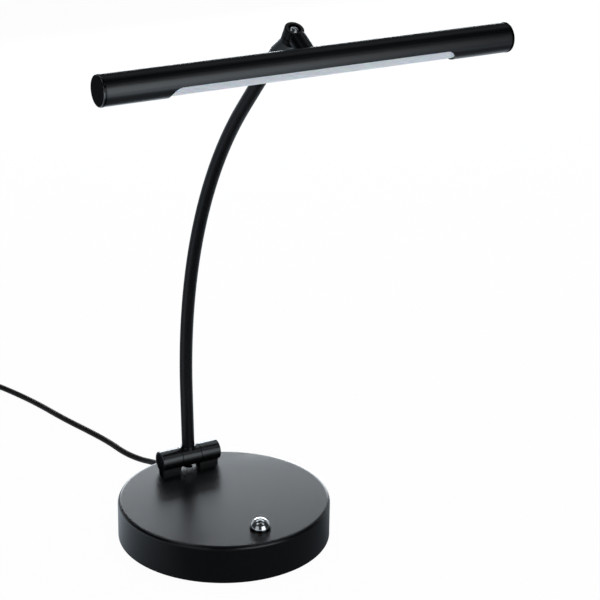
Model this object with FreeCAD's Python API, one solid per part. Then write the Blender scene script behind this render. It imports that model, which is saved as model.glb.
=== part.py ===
import FreeCAD, Part
import math
import os

# Piano lamp: a weighted round base, a hinged curved arm and a swivelling tube head.
# Millimetres. Origin at the centre of the base on the table, +Z up, the player sits at -Y.
# The head and the hinge pin lie along X; the arm bends in the YZ plane.

V = FreeCAD.Vector
ALONG_X = V(1, 0, 0)
ALONG_Y = V(0, 1, 0)
ALONG_Z = V(0, 0, 1)

# ---- fits ----
seat_gap = 0.1            # between pieces that are pushed together by hand
running_gap = 0.06        # radial clearance round a pin, a stem or a swivel screw
thread_gap = 0.05         # radial clearance drawn at a thread
moving_gap = 0.3          # between faces that pass each other

# ---- base ----
base_radius = 84.0
base_height = 31.0
base_edge_radius = 3.0    # rounded top edge
rim_edge_radius = 0.5     # rounded lower edge of the shell
rim_height = 0.3          # the shell's rim stops this far above the table
shell_wall = 2.0
shell_top = 2.5
pad_thickness = 1.5
pad_inset = 2.0           # from the shell's inner wall to the pad's edge
plate_thickness = 1.5
plate_gap = 0.4           # between the bottom plate and the shell's inner wall
weight_thickness = 15.4
weight_gap = 0.7
front_pocket_width = 52.0
front_pocket_depth = 46.0
rear_pocket_width = 62.0
rear_pocket_depth = 42.0
wire_channel_width = 12.0
wire_channel_depth = 7.0
base_screw_inset = 20.0   # from the base's edge to the circle of closing screws
base_screw_count = 4
base_screw_radius = 2.0
base_screw_head_radius = 3.8
base_screw_bite = 7.0     # how far a closing screw goes into its boss
boss_radius = 5.0

# ---- base hinge ----
hinge_inset = 22.2        # from the base's rear edge to the pin axis
hinge_height = 10.0       # pin axis above the base's top
barrel_radius = 8.1
knuckle_half_width = 8.15
knuckle_collar_radius = 6.0   # round seat of the tube on top of the knuckle
knuckle_collar_rise = 0.9     # its top above the barrel
barrel_half_length = 25.7
washer_slot = 0.7         # slot between knuckle and ear that holds a friction washer
hinge_washer_thickness = 0.5
hinge_washer_radius = 7.5
foot_half_depth = 4.2
foot_inner_x = 8.5        # the feet leave this half-width open under the knuckle
foot_end_inset = 0.9      # the feet stop short of the barrel's ends
hinge_bolt_radius = 2.5
bolt_head_radius = 4.4
bolt_head_height = 3.6
bolt_socket_flats = 3.0
bolt_socket_depth = 2.0
hinge_nut_flats = 8.0
hinge_nut_height = 4.0
cap_radius = 6.4
cap_thickness = 1.4
ear_screw_radius = 2.0
ear_screw_head_radius = 3.5
ear_screw_head_height = 2.4
ear_screw_bite = 4.5
wire_hole_radius = 3.5

# ---- arm ----
arm_radius = 5.15
arm_wall = 1.0
arm_lean_back = 3.0       # degrees behind upright at the hinge
arm_tail = 6.6            # tube below the pin axis
arm_straight_low = 56.8   # from the pin axis to the start of the bend
arm_bend_radius = 356.0
arm_bend_angle = 45.9     # degrees
arm_straight_high = 72.0
lead_radius = 0.6
lead_offset = 3.3         # the two wires pass in front of and behind the hinge bolt
lead_tail = 8.0           # wire below the pin axis

# ---- head swivel ----
swivel_tilt = 29.0        # degrees between the swivel axis and upright
elbow_rise = 18.5         # boss foot beyond the tube's end, along the tube
elbow_forward = 5.4       # and in front of the tube's axis
elbow_spigot_length = 12.0
swivel_boss_radius = 7.0
swivel_boss_height = 4.0
swivel_slot = 0.6
swivel_washer_thickness = 0.4
swivel_washer_radius = 6.0
eye_radius = 6.95
eye_thickness = 6.6
eye_edge_radius = 0.7
swivel_screw_radius = 2.0
swivel_head_radius = 3.6
swivel_head_height = 2.4
swivel_head_rim = 0.4     # straight part of the domed head
swivel_socket_flats = 2.5
swivel_socket_depth = 1.5
counterbore_radius = 4.5
counterbore_depth = 1.9
neck_radius = 6.4
neck_length = 30.9        # from the swivel axis to the head's axis
neck_edge_radius = 1.8
neck_spigot_radius = 2.4
neck_spigot_reach = 7.4   # distance of the spigot's end from the head's axis

# ---- head ----
head_radius = 10.6
head_wall = 1.0
head_half_length = 158.7
window_half_length = 102.0
window_edge_drop = 2.0    # the window's long edges lie this far below the head's axis
window_end_radius = 8.4
diffuser_wall = 1.3
diffuser_top_drop = -0.8  # top edges of the diffuser, below the head's axis
insert_overhang = 12.0    # diffuser and carrier run on past the window's ends
carrier_flat_rise = 1.0
carrier_channel_radius = 3.2
carrier_channel_rise = 5.4
led_board_width = 10.0
led_board_thickness = 1.0
led_pitch = 8.5
led_count = 25
led_length = 3.5
led_width = 2.8
led_height = 0.7
end_cap_proud = 0.2
end_cap_thickness = 2.0
end_cap_edge_radius = 1.1
end_cap_groove = 0.3
end_cap_plug_length = 6.0
end_cap_plug_wall = 1.5

# ---- dimmer button ----
button_inset = 25.0       # from the base's front edge to the button's axis
button_radius = 8.15
button_height = 8.0       # top of the dome above the base's top
button_skirt_rise = 0.6   # straight part above the base's top
button_travel = 1.0
button_flange_radius = 9.8
button_flange_thickness = 1.2
stem_radius = 3.0
board_width = 44.0
board_depth = 26.0
board_thickness = 1.6
board_height = 8.0        # posts under the dimmer board
board_post_radius = 3.0
board_post_spacing = 34.0
board_screw_radius = 1.5
board_screw_head_radius = 2.8
switch_width = 6.0
switch_height = 3.5
plunger_radius = 1.75
plunger_above_switch = 1.4
plunger_inside_switch = 1.0
driver_width = 52.0
driver_depth = 21.0
driver_height = 12.0
driver_corner = 2.0

# ---- mains cord ----
cord_radius = 2.5
relief_bore = 4.2         # radius of the hole in the shell
relief_flange_radius = 5.5
relief_flange = 1.5
relief_length = 22.0
relief_root_radius = 4.2
relief_tip_radius = 3.1
relief_groove_count = 5
relief_groove_depth = 0.6
relief_groove_width = 1.6
coil_centre = V(-104, 372, 0)
coil_middle_radius = 27.5
coil_turns = 4.2          # turns in each of the two layers
coil_entry_angle = 24.0   # degrees from +X where the cord joins the coil
plug_lead_length = 25.0
plug_width = 35.0
plug_thickness = 14.0
plug_body_length = 36.0
plug_boot_length = 22.0
plug_boot_radius = 5.0
pin_radius = 2.0
pin_length = 19.0
pin_spacing = 18.6

# ---- places that follow from the sizes above ----
plate_z = pad_thickness
weight_z = plate_z + plate_thickness
weight_top = weight_z + weight_thickness
shell_inner_radius = base_radius - shell_wall
base_screw_circle = base_radius - base_screw_inset
hinge_y = base_radius - hinge_inset
button_y = button_inset - base_radius
shell_ceiling = base_height - shell_top
cord_exit_height = weight_z + relief_flange_radius + moving_gap
hinge_z = base_height + hinge_height
ear_inner_x = knuckle_half_width + washer_slot
bolt_bore_radius = hinge_bolt_radius + running_gap
coil_radial_span = coil_turns * 2 * cord_radius
coil_outer_radius = coil_middle_radius + coil_radial_span / 2 + cord_radius
coil_inner_radius = coil_middle_radius - coil_radial_span / 2 - cord_radius

lean = math.radians(arm_lean_back)
bend = math.radians(arm_bend_angle)
tilt = math.radians(swivel_tilt)
pin_centre = V(0, hinge_y, hinge_z)
arm_start_way = V(0, math.sin(lean), math.cos(lean))
arm_end_way = V(0, -math.sin(bend - lean), math.cos(bend - lean))
arm_end_front = V(0, -math.cos(bend - lean), -math.sin(bend - lean))
swivel_way = V(0, -math.sin(tilt), math.cos(tilt))
neck_way = V(0, -math.cos(tilt), -math.sin(tilt))


def cylinder(radius, start, way, length):
    return Part.makeCylinder(radius, length, start, way)


def ring(outer, inner, start, way, length):
    return cylinder(outer, start, way, length).cut(cylinder(inner, start, way, length))


def block(x_range, y_range, z_range):
    corner = V(x_range[0], y_range[0], z_range[0])
    return Part.makeBox(x_range[1] - x_range[0], y_range[1] - y_range[0], z_range[1] - z_range[0], corner)


def hexagon(flats, start, way, length):
    corner_radius = flats / math.sqrt(3)
    turns = [math.radians(60 * i) for i in range(7)]
    corners = [V(corner_radius * math.cos(turn), corner_radius * math.sin(turn), 0) for turn in turns]
    prism = Part.Face(Part.makePolygon(corners)).extrude(V(0, 0, length))
    prism.Placement = FreeCAD.Placement(start, FreeCAD.Rotation(ALONG_Z, way))
    return prism


def round_edges(shape, radius, keep):
    edges = [edge for edge in shape.Edges if keep(edge)]
    return shape.makeFillet(radius, edges)


def is_circle(edge, radius, height, axis):
    """True for a full circle of this radius whose centre lies at this height along the axis."""
    if not isinstance(edge.Curve, Part.Circle) or abs(edge.Curve.Radius - radius) > 1e-4:
        return False
    return abs(edge.Curve.Center.dot(axis) - height) < 1e-4


def join(pieces):
    shape = pieces[0]
    for piece in pieces[1:]:
        shape = shape.fuse(piece)
    return shape.removeSplitter()


def spin(points, centre, way, arcs=()):
    """Turn a half profile of (radius, along) points round an axis; arcs maps a side to its middle point."""
    sides = []
    for i in range(len(points)):
        start, end = points[i], points[(i + 1) % len(points)]
        a, b = V(start[0], 0, start[1]), V(end[0], 0, end[1])
        if i in arcs:
            sides.append(Part.Arc(a, V(arcs[i][0], 0, arcs[i][1]), b).toShape())
        else:
            sides.append(Part.LineSegment(a, b).toShape())
    solid = Part.Face(Part.Wire(sides)).revolve(V(0, 0, 0), ALONG_Z, 360)
    solid.Placement = FreeCAD.Placement(centre, FreeCAD.Rotation(ALONG_Z, way))
    return solid


def dome_middle(radius, rise):
    """Half-way point of a spherical dome's arc: its radius and how far it lies below the top."""
    sphere_radius = (radius ** 2 + rise ** 2) / (2 * rise)
    half_angle = math.asin(radius / sphere_radius) / 2
    return sphere_radius * math.sin(half_angle), sphere_radius * (1 - math.cos(half_angle))


def save(name, shape):
    shape.exportStep("parts/%s.step" % name)
    kinds = "solid" if len(shape.Solids) == 1 else "solids"
    print("%-16s %2d %s  %.1f cm3  valid %s" % (name, len(shape.Solids), kinds, shape.Volume / 1000, shape.isValid()))


# ---- base ----

def circle_places(count, radius):
    turns = [math.radians(45 + 360.0 * i / count) for i in range(count)]
    return [V(radius * math.cos(turn), radius * math.sin(turn), 0) for turn in turns]


base_screw_places = circle_places(base_screw_count, base_screw_circle)
ear_screw_x = (foot_inner_x + barrel_half_length - foot_end_inset) / 2
button_place = V(0, button_y, 0)
board_screw_places = [V(side * board_post_spacing / 2, button_y, 0) for side in (-1, 1)]


def make_base_shell():
    shell = cylinder(base_radius, V(0, 0, rim_height), ALONG_Z, base_height - rim_height)
    shell = round_edges(shell, base_edge_radius, lambda e: is_circle(e, base_radius, base_height, ALONG_Z))
    shell = round_edges(shell, rim_edge_radius, lambda e: is_circle(e, base_radius, rim_height, ALONG_Z))
    shell = shell.cut(cylinder(shell_inner_radius, V(0, 0, 0), ALONG_Z, shell_ceiling))
    for place in base_screw_places:
        foot = place + V(0, 0, weight_top)
        shell = shell.fuse(cylinder(boss_radius, foot, ALONG_Z, shell_ceiling - weight_top))
        shell = shell.cut(cylinder(base_screw_radius + thread_gap, foot, ALONG_Z, base_screw_bite + seat_gap))
    for side in (-1, 1):
        shell = shell.cut(cylinder(ear_screw_radius + seat_gap, V(side * ear_screw_x, hinge_y, 0), ALONG_Z,
                                   base_height))
    shell = shell.cut(cylinder(wire_hole_radius, V(0, hinge_y, 0), ALONG_Z, base_height))
    shell = shell.cut(cylinder(button_radius + moving_gap, button_place, ALONG_Z, base_height))
    return shell.cut(cylinder(relief_bore, V(0, 0, cord_exit_height), ALONG_Y, base_radius))


def make_base_weight():
    outer = shell_inner_radius - weight_gap
    weight = cylinder(outer, V(0, 0, weight_z), ALONG_Z, weight_thickness)
    heights = (weight_z, weight_top)
    weight = weight.cut(block((-front_pocket_width / 2, front_pocket_width / 2),
                              (-base_radius, front_pocket_depth - base_radius), heights))
    weight = weight.cut(block((-rear_pocket_width / 2, rear_pocket_width / 2),
                              (base_radius - rear_pocket_depth, base_radius), heights))
    weight = weight.cut(block((-wire_channel_width / 2, wire_channel_width / 2), (-base_radius, base_radius),
                              (weight_top - wire_channel_depth, weight_top)))
    for place in base_screw_places:
        weight = weight.cut(cylinder(base_screw_radius + moving_gap, place, ALONG_Z, weight_top))
    return weight


def make_bottom_plate():
    plate = cylinder(shell_inner_radius - plate_gap, V(0, 0, plate_z), ALONG_Z, plate_thickness)
    for place in base_screw_places:
        plate = plate.cut(countersunk_screw(place, seat_gap))
    for place in board_screw_places:
        post = place + V(0, 0, weight_z)
        plate = plate.fuse(cylinder(board_post_radius, post, ALONG_Z, board_height))
        plate = plate.cut(cylinder(board_screw_radius + thread_gap, post, ALONG_Z, board_height))
    return plate


def countersunk_screw(place, extra):
    """A closing screw, or with extra the hole that clears it."""
    shaft = base_screw_radius + extra
    head = base_screw_head_radius + extra
    top = weight_top + base_screw_bite
    cone = base_screw_head_radius - base_screw_radius
    return spin([(0, 0), (head, 0), (shaft, cone), (shaft, top - plate_z), (0, top - plate_z)],
                place + V(0, 0, plate_z), ALONG_Z)


def make_rubber_pad():
    pad = cylinder(shell_inner_radius - pad_inset, V(0, 0, 0), ALONG_Z, pad_thickness)
    for place in base_screw_places:
        pad = pad.cut(cylinder(base_screw_head_radius + moving_gap, place, ALONG_Z, pad_thickness))
    return pad


# ---- base hinge ----

def make_ear(side):
    """One end of the hinge barrel with its foot; side is -1 on the left and +1 on the right."""
    out = V(side, 0, 0)
    length = barrel_half_length - ear_inner_x
    inner = pin_centre + out * ear_inner_x
    face = pin_centre + out * barrel_half_length
    foot_x = sorted((side * foot_inner_x, side * (barrel_half_length - foot_end_inset)))
    foot = block(foot_x, (hinge_y - foot_half_depth, hinge_y + foot_half_depth), (base_height, hinge_z))
    knuckle_room = cylinder(barrel_radius + moving_gap, pin_centre, out, ear_inner_x)
    ear = join([foot.cut(knuckle_room), cylinder(barrel_radius, inner, out, length)])
    pocket_radius = bolt_head_radius + seat_gap if side < 0 else hinge_nut_flats / math.sqrt(3) + seat_gap
    pocket_depth = cap_thickness + (bolt_head_height if side < 0 else hinge_nut_height)
    ear = ear.cut(cylinder(bolt_bore_radius, pin_centre, out, barrel_half_length))
    ear = ear.cut(cylinder(cap_radius + seat_gap, face, out * -1, cap_thickness))
    ear = ear.cut(cylinder(pocket_radius, face, out * -1, pocket_depth + seat_gap))
    screw_foot = V(side * ear_screw_x, hinge_y, base_height)
    return ear.cut(cylinder(ear_screw_radius + thread_gap, screw_foot, ALONG_Z, ear_screw_bite + seat_gap))


def make_hinge_bolt():
    head_x = -barrel_half_length + cap_thickness
    head = cylinder(bolt_head_radius, V(head_x, hinge_y, hinge_z), ALONG_X, bolt_head_height)
    end_x = barrel_half_length - cap_thickness - seat_gap
    shaft = cylinder(hinge_bolt_radius, V(head_x, hinge_y, hinge_z), ALONG_X, end_x - head_x)
    socket = hexagon(bolt_socket_flats, V(head_x, hinge_y, hinge_z), ALONG_X, bolt_socket_depth)
    return join([head, shaft]).cut(socket)


def make_hinge_nut():
    start = V(barrel_half_length - cap_thickness - hinge_nut_height, hinge_y, hinge_z)
    nut = hexagon(hinge_nut_flats, start, ALONG_X, hinge_nut_height - seat_gap)
    return nut.cut(cylinder(hinge_bolt_radius + thread_gap, start, ALONG_X, hinge_nut_height))


def make_hinge_washers():
    rings = []
    for side in (-1, 1):
        middle = side * (knuckle_half_width + washer_slot / 2)
        start = V(middle - hinge_washer_thickness / 2, hinge_y, hinge_z)
        rings.append(ring(hinge_washer_radius, bolt_bore_radius + seat_gap, start, ALONG_X, hinge_washer_thickness))
    return Part.makeCompound(rings)


def make_hinge_caps():
    caps = []
    for side in (-1, 1):
        face = pin_centre + V(side * barrel_half_length, 0, 0)
        caps.append(spin([(0, 0), (cap_radius - 0.3, 0), (cap_radius, 0.3), (cap_radius, cap_thickness),
                          (0, cap_thickness)], face, V(-side, 0, 0)))
    return Part.makeCompound(caps)


def make_ear_screws():
    screws = []
    for side in (-1, 1):
        under = V(side * ear_screw_x, hinge_y, shell_ceiling)
        head = cylinder(ear_screw_head_radius, under, ALONG_Z * -1, ear_screw_head_height)
        shaft = cylinder(ear_screw_radius, under, ALONG_Z, shell_top + ear_screw_bite)
        screws.append(join([head, shaft]))
    return Part.makeCompound(screws)


def make_hinge_knuckle():
    barrel = cylinder(barrel_radius, pin_centre - V(knuckle_half_width, 0, 0), ALONG_X, 2 * knuckle_half_width)
    collar = cylinder(knuckle_collar_radius, pin_centre, arm_start_way, barrel_radius + knuckle_collar_rise)
    knuckle = join([barrel, collar])
    knuckle = knuckle.cut(cylinder(bolt_bore_radius, pin_centre - V(knuckle_half_width, 0, 0), ALONG_X,
                                   2 * knuckle_half_width))
    tail = pin_centre - arm_start_way * (arm_tail + seat_gap)
    knuckle = knuckle.cut(cylinder(arm_radius + seat_gap, tail, arm_start_way, 3 * barrel_radius))
    return knuckle.cut(cylinder(arm_radius - arm_wall, tail, arm_start_way * -1, barrel_radius))


# ---- arm ----

def arm_path(shift, start_length, end_length):
    """Centre line of the tube moved towards the front by shift, and its end point."""
    front = V(0, -math.cos(lean), math.sin(lean))
    bend_start = pin_centre + arm_start_way * arm_straight_low
    bend_centre = bend_start + front * arm_bend_radius
    radius = arm_bend_radius - shift
    turn = FreeCAD.Rotation(ALONG_X, arm_bend_angle)
    half_turn = FreeCAD.Rotation(ALONG_X, arm_bend_angle / 2)
    arm_in = bend_centre - front * radius
    arm_mid = bend_centre - half_turn.multVec(front) * radius
    arm_out = bend_centre - turn.multVec(front) * radius
    start = arm_in - arm_start_way * (arm_straight_low - start_length)
    end = arm_out + arm_end_way * (arm_straight_high - end_length)
    edges = [Part.LineSegment(start, arm_in).toShape(), Part.Arc(arm_in, arm_mid, arm_out).toShape(),
             Part.LineSegment(arm_out, end).toShape()]
    return Part.Wire(edges), start, end


def sweep_round(path, start, way, radius):
    profile = Part.Wire([Part.makeCircle(radius, start, way)])
    return path.makePipeShell([profile], True, False)


arm_line, arm_start, arm_end = arm_path(0, -arm_tail, 0)
boss_foot = arm_end + arm_end_way * elbow_rise + arm_end_front * elbow_forward
boss_face = boss_foot + swivel_way * swivel_boss_height
eye_under = boss_face + swivel_way * swivel_slot
eye_top = eye_under + swivel_way * eye_thickness
neck_start = eye_under + swivel_way * (eye_thickness / 2)
head_centre = neck_start + neck_way * neck_length


def make_arm_tube():
    tube = sweep_round(arm_line, arm_start, arm_start_way, arm_radius)
    tube = tube.cut(sweep_round(arm_line, arm_start, arm_start_way, arm_radius - arm_wall))
    return tube.cut(cylinder(bolt_bore_radius, pin_centre - V(arm_radius, 0, 0), ALONG_X, 2 * arm_radius))


def make_arm_leads():
    leads = []
    for side in (-1, 1):
        path, start, end = arm_path(side * lead_offset, -lead_tail, elbow_spigot_length + seat_gap)
        leads.append(sweep_round(path, start, arm_start_way, lead_radius))
    return Part.makeCompound(leads)


def make_swivel_elbow():
    tube_rim = Part.Wire([Part.makeCircle(arm_radius, arm_end, arm_end_way)])
    boss_rim = Part.Wire([Part.makeCircle(swivel_boss_radius, boss_foot, swivel_way)])
    neck = Part.makeLoft([tube_rim, boss_rim], True, False)
    boss = cylinder(swivel_boss_radius, boss_foot, swivel_way, swivel_boss_height)
    spigot = cylinder(arm_radius - arm_wall - seat_gap, arm_end - arm_end_way * elbow_spigot_length, arm_end_way,
                      elbow_spigot_length + arm_wall)
    elbow = join([neck, boss, spigot])
    return elbow.cut(cylinder(swivel_screw_radius + thread_gap, boss_face, swivel_way * -1,
                              swivel_boss_height + seat_gap))


def make_swivel_washer():
    start = boss_face + swivel_way * ((swivel_slot - swivel_washer_thickness) / 2)
    return ring(swivel_washer_radius, swivel_screw_radius + 2 * running_gap, start, swivel_way,
                swivel_washer_thickness)


def make_swivel_screw():
    seat = -counterbore_depth
    crown = seat + swivel_head_height
    rim = seat + swivel_head_rim
    tip = -eye_thickness - swivel_slot - swivel_boss_height
    arc_radius, arc_drop = dome_middle(swivel_head_radius, crown - rim)
    points = [(0, tip), (swivel_screw_radius, tip), (swivel_screw_radius, seat), (swivel_head_radius, seat),
              (swivel_head_radius, rim), (0, crown)]
    screw = spin(points, eye_top, swivel_way, {4: (arc_radius, crown - arc_drop)})
    return screw.cut(hexagon(swivel_socket_flats, eye_top + swivel_way * crown, swivel_way * -1,
                             swivel_socket_depth))


# ---- head ----

def make_head_neck():
    eye = cylinder(eye_radius, eye_under, swivel_way, eye_thickness)
    eye = round_edges(eye, eye_edge_radius,
                      lambda e: is_circle(e, eye_radius, eye_top.dot(swivel_way), swivel_way))
    rod_start = eye_radius - 1.0
    rod = cylinder(neck_radius, neck_start + neck_way * rod_start, neck_way, neck_length - rod_start)
    rod = round_edges(rod, neck_edge_radius, lambda e: is_circle(
        e, neck_radius, (neck_start + neck_way * rod_start).dot(neck_way), neck_way))
    rod = rod.cut(cylinder(head_radius, head_centre - V(head_radius, 0, 0), ALONG_X, 2 * head_radius))
    washer_room = cylinder(eye_radius + moving_gap, boss_foot, swivel_way, swivel_boss_height + swivel_slot)
    spigot = cylinder(neck_spigot_radius, neck_start + neck_way * eye_radius, neck_way,
                      neck_length - eye_radius - neck_spigot_reach)
    neck = join([eye, rod.cut(washer_room), spigot])
    neck = neck.cut(cylinder(swivel_screw_radius + running_gap, eye_under, swivel_way, eye_thickness))
    return neck.cut(cylinder(counterbore_radius, eye_top, swivel_way * -1, counterbore_depth))


def head_x_cylinder(radius, half_length, rise=0.0):
    return cylinder(radius, head_centre + V(-half_length, 0, rise), ALONG_X, 2 * half_length)


def make_window_tool():
    """A side view of the window, pulled across the head."""
    top = head_centre.z - window_edge_drop
    low = head_centre.z - head_radius - window_end_radius
    x = window_half_length
    r = window_end_radius
    y = head_centre.y - 2 * head_radius
    slant = r * math.sqrt(0.5)
    corners = [V(-x, y, top), V(x, y, top), V(x + r, y, top - r), V(x + r, y, low), V(-x - r, y, low),
               V(-x - r, y, top - r)]
    right_middle = V(x + slant, y, top - r + slant)
    left_middle = V(-x - slant, y, top - r + slant)
    sides = [Part.LineSegment(corners[0], corners[1]).toShape(),
             Part.Arc(corners[1], right_middle, corners[2]).toShape(),
             Part.LineSegment(corners[2], corners[3]).toShape(), Part.LineSegment(corners[3], corners[4]).toShape(),
             Part.LineSegment(corners[4], corners[5]).toShape(),
             Part.Arc(corners[5], left_middle, corners[0]).toShape()]
    return Part.Face(Part.Wire(sides)).extrude(V(0, 4 * head_radius, 0))


tube_half_length = head_half_length - end_cap_thickness - end_cap_groove
insert_half_length = window_half_length + window_end_radius + insert_overhang
insert_radius = head_radius - head_wall - seat_gap


def spigot_hole(gap):
    return cylinder(neck_spigot_radius + gap, head_centre - neck_way * (neck_spigot_reach - seat_gap),
                    neck_way * -1, head_radius)


def make_head_tube():
    tube = head_x_cylinder(head_radius, tube_half_length).cut(
        head_x_cylinder(head_radius - head_wall, tube_half_length))
    return tube.cut(make_window_tool()).cut(spigot_hole(seat_gap))


def head_half(half_length, low, high):
    return block((-half_length, half_length), (head_centre.y - head_radius, head_centre.y + head_radius),
                 (head_centre.z + low, head_centre.z + high))


def make_led_carrier():
    bar = head_x_cylinder(insert_radius, insert_half_length).common(
        head_half(insert_half_length, carrier_flat_rise, head_radius))
    bar = bar.cut(head_x_cylinder(carrier_channel_radius, insert_half_length, carrier_channel_rise))
    return bar.cut(spigot_hole(thread_gap))


def make_led_board():
    return block((-insert_half_length + 2, insert_half_length - 2),
                 (head_centre.y - led_board_width / 2, head_centre.y + led_board_width / 2),
                 (head_centre.z + carrier_flat_rise - led_board_thickness, head_centre.z + carrier_flat_rise))


def make_led_chips():
    top = head_centre.z + carrier_flat_rise - led_board_thickness
    chips = []
    for i in range(led_count):
        x = (i - (led_count - 1) / 2) * led_pitch
        chips.append(block((x - led_length / 2, x + led_length / 2),
                           (head_centre.y - led_width / 2, head_centre.y + led_width / 2),
                           (top - led_height, top)))
    return Part.makeCompound(chips)


def make_diffuser():
    shell = head_x_cylinder(insert_radius, insert_half_length).cut(
        head_x_cylinder(insert_radius - diffuser_wall, insert_half_length))
    return shell.common(head_half(insert_half_length, -head_radius, -diffuser_top_drop))


def make_end_cap(side):
    flange = head_radius + end_cap_proud
    plug = insert_radius
    bend = end_cap_edge_radius * (1 - math.sqrt(0.5))
    depth = end_cap_thickness + end_cap_groove
    end = depth + end_cap_plug_length
    points = [(0, 0), (flange - end_cap_edge_radius, 0), (flange, end_cap_edge_radius), (flange, end_cap_thickness),
              (plug, end_cap_thickness), (plug, end), (plug - end_cap_plug_wall, end),
              (plug - end_cap_plug_wall, depth), (0, depth)]
    face = head_centre + V(side * head_half_length, 0, 0)
    return spin(points, face, V(-side, 0, 0), {1: (flange - bend, bend)})


# ---- dimmer button ----

board_top = weight_z + board_height + board_thickness
switch_top = board_top + switch_height
plunger_top = switch_top + plunger_above_switch


def make_dimmer_button():
    """Domed cap with a flange that stays under the shell and a stem that reaches the switch."""
    top = base_height + button_height
    shoulder = base_height + button_skirt_rise
    arc_radius, arc_drop = dome_middle(button_radius, top - shoulder)
    flange_top = shell_ceiling - seat_gap
    flange_low = flange_top - button_flange_thickness
    points = [(0, plunger_top), (stem_radius, plunger_top), (stem_radius, flange_low),
              (button_flange_radius, flange_low), (button_flange_radius, flange_top), (button_radius, flange_top),
              (button_radius, shoulder), (0, top)]
    return spin(points, button_place, ALONG_Z, {6: (arc_radius, top - arc_drop)})


def make_switch_plunger():
    start = button_place + V(0, 0, switch_top - plunger_inside_switch)
    return cylinder(plunger_radius, start, ALONG_Z, plunger_above_switch + plunger_inside_switch)


def make_switch_body():
    half = switch_width / 2
    body = block((-half, half), (button_y - half, button_y + half), (board_top, switch_top))
    depth = plunger_inside_switch + button_travel + moving_gap
    return body.cut(cylinder(plunger_radius + running_gap, button_place + V(0, 0, switch_top - depth), ALONG_Z,
                             depth))


def make_dimmer_board():
    board = block((-board_width / 2, board_width / 2), (button_y - board_depth / 2, button_y + board_depth / 2),
                  (board_top - board_thickness, board_top))
    for place in board_screw_places:
        board = board.cut(cylinder(board_screw_radius + seat_gap, place, ALONG_Z, board_top))
    return board


def make_board_screws():
    screws = []
    for place in board_screw_places:
        head = cylinder(board_screw_head_radius, place + V(0, 0, board_top), ALONG_Z, board_screw_radius)
        shaft = cylinder(board_screw_radius, place + V(0, 0, board_top), ALONG_Z * -1, board_height)
        screws.append(join([head, shaft]))
    return Part.makeCompound(screws)


def make_led_driver():
    front = base_radius - rear_pocket_depth + 1
    driver = block((-driver_width / 2, driver_width / 2), (front, front + driver_depth),
                   (weight_z, weight_z + driver_height))
    return round_edges(driver, driver_corner, lambda e: abs(e.tangentAt(e.FirstParameter).z) > 0.99)


# ---- mains cord ----

relief_root = base_radius + relief_flange
relief_tip = relief_root + relief_length


def make_strain_relief():
    inner_face = shell_inner_radius - relief_flange - moving_gap
    root = shell_inner_radius - moving_gap
    throat = relief_bore - seat_gap
    points = [(0, inner_face), (relief_flange_radius, inner_face), (relief_flange_radius, root), (throat, root),
              (throat, base_radius), (relief_flange_radius, base_radius), (relief_flange_radius, relief_root),
              (relief_root_radius, relief_root)]
    step = relief_length / (relief_groove_count + 1)
    for i in range(relief_groove_count):
        along = step * (i + 1)
        radius = relief_root_radius + (relief_tip_radius - relief_root_radius) * along / relief_length
        start = relief_root + along - relief_groove_width / 2
        end = start + relief_groove_width
        points += [(radius, start), (radius - relief_groove_depth, start), (radius - relief_groove_depth, end),
                   (radius, end)]
    points += [(relief_tip_radius, relief_tip), (0, relief_tip)]
    return spin(points, V(0, 0, cord_exit_height), ALONG_Y)


entry = math.radians(coil_entry_angle)
coil_entry = coil_centre + V(math.cos(entry), math.sin(entry), 0) * (coil_outer_radius - cord_radius)

# the free cord from the strain relief to the coil, chosen by hand
cord_points = [V(0, relief_tip, cord_exit_height),
               V(0, 119, cord_exit_height),
               V(-0.9, 131.5, 5.2),
               V(-4.4, 145, cord_radius),
               V(-10.6, 163, cord_radius),
               V(-12.9, 187, cord_radius),
               V(-18.9, 215, cord_radius),
               V(-28.5, 252, cord_radius),
               V(-36.0, 292, cord_radius),
               V(-46.5, 329, cord_radius),
               V(-58.2, 361, cord_radius),
               V(coil_entry.x, coil_entry.y, cord_radius)]


def cord_path(points):
    """Straight runs joined by tangent arcs, each as large as its two runs allow."""
    edges = []
    last = points[0]
    smallest = None
    for i in range(1, len(points) - 1):
        into = points[i] - points[i - 1]
        out = points[i + 1] - points[i]
        half_turn = into.getAngle(out) / 2
        tangent = 0.45 * min(into.Length, out.Length)
        radius = tangent / math.tan(half_turn)
        into.normalize()
        out.normalize()
        start = points[i] - into * tangent
        end = points[i] + out * tangent
        inward = (out - into).normalize()
        middle = points[i] + inward * (radius / math.cos(half_turn) - radius)
        edges.append(Part.LineSegment(last, start).toShape())
        edges.append(Part.Arc(start, middle, end).toShape())
        print("cord bend %d radius %.0f" % (i, radius))
        smallest = radius if smallest is None else min(smallest, radius)
        last = end
    edges.append(Part.LineSegment(last, points[-1]).toShape())
    print("cord smallest radius %.0f" % smallest)
    return Part.Wire(edges)


def make_cord_coil():
    return ring(coil_outer_radius, coil_inner_radius, coil_centre, ALONG_Z, 4 * cord_radius)


def make_power_cord():
    path = cord_path(cord_points)
    tube = sweep_round(path, cord_points[0], cord_points[1] - cord_points[0], cord_radius)
    print("power_cord length %.1f volume ratio %.4f"
          % (path.Length, tube.Volume / (math.pi * cord_radius ** 2 * path.Length)))
    return tube.cut(make_cord_coil())


exit_angle = entry + 4 * math.pi * coil_turns
exit_way = V(-math.sin(exit_angle), math.cos(exit_angle), 0)
plug_lead_start = coil_centre + V(math.cos(exit_angle), math.sin(exit_angle), 0) * (coil_outer_radius - cord_radius)
plug_lead_start.z = plug_thickness / 2
boot_start = plug_lead_start + exit_way * plug_lead_length
body_start = boot_start + exit_way * plug_boot_length
plug_turn = FreeCAD.Rotation(ALONG_Y, exit_way)


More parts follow.
